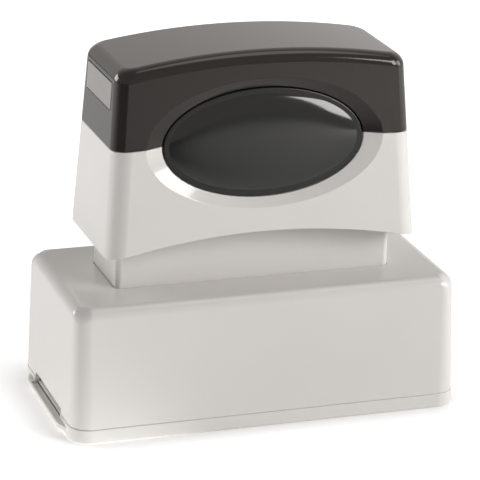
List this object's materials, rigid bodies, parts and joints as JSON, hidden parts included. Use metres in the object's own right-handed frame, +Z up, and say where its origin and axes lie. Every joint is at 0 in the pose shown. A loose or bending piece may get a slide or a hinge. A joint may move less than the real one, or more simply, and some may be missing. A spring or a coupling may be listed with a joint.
{
  "type": "pre-inked hand stamp",
  "caption": "Free-standing pre-inked stamp: boxed base with a sprung plunger and ink-filled die, pull-off two-tone handle with an oval badge, and a tray-shaped dust cover.",
  "frame": {"origin": "centre of the base's outline on the desk, under the dust cover", "axes": "+X along the imprint, away from the dust cover's pull tab, +Y from the badge to the back, +Z up"},
  "size_m": [0.0912, 0.0452, 0.0835],
  "materials": {
    "white_plastic": "warm white, satin moulding",
    "cover_plastic": "warm white, satin moulding",
    "inner_plastic": "light grey moulding",
    "smoke_plastic": "dark smoke, glossy",
    "badge_black": "black, glossy",
    "badge_gloss": "black, domed and polished",
    "index_plastic": "light grey, satin",
    "ink_felt": "felt soaked with blue-black ink",
    "die_foam": "fine-celled foam, inked",
    "spring_steel": "plated spring wire"
  },
  "bodies": {
    "base": {"base_housing": "white_plastic", "bottom_frame": "inner_plastic", "left_spring": "spring_steel", "right_spring": "spring_steel"},
    "plunger": {"stem": "white_plastic", "die_holder": "inner_plastic", "ink_reservoir": "ink_felt", "stamp_die": "die_foam", "die_frame": "inner_plastic"},
    "handle": {"handle_shell": "white_plastic", "handle_cap": "smoke_plastic", "badge_plate": "badge_black", "badge_dome": "badge_gloss", "index_plate": "index_plastic"},
    "cover": {"dust_cover": "cover_plastic"}
  },
  "joints": [
    {"name": "press", "type": "slide", "parent": "base", "child": "plunger", "axis": [0, 0, -1], "range_m": [0, 0.006], "stiffness_N_per_m": 1600, "springref_m": -0.005, "deforming": ["left_spring", "right_spring"]},
    {"name": "handle_lift", "type": "slide", "parent": "plunger", "child": "handle", "axis": [0, 0, 1], "range_m": [0, 0.024]},
    {"name": "cover_pull", "type": "slide", "parent": "base", "child": "cover", "axis": [0, 0, -1], "range_m": [0, 0.015]}
  ]
}
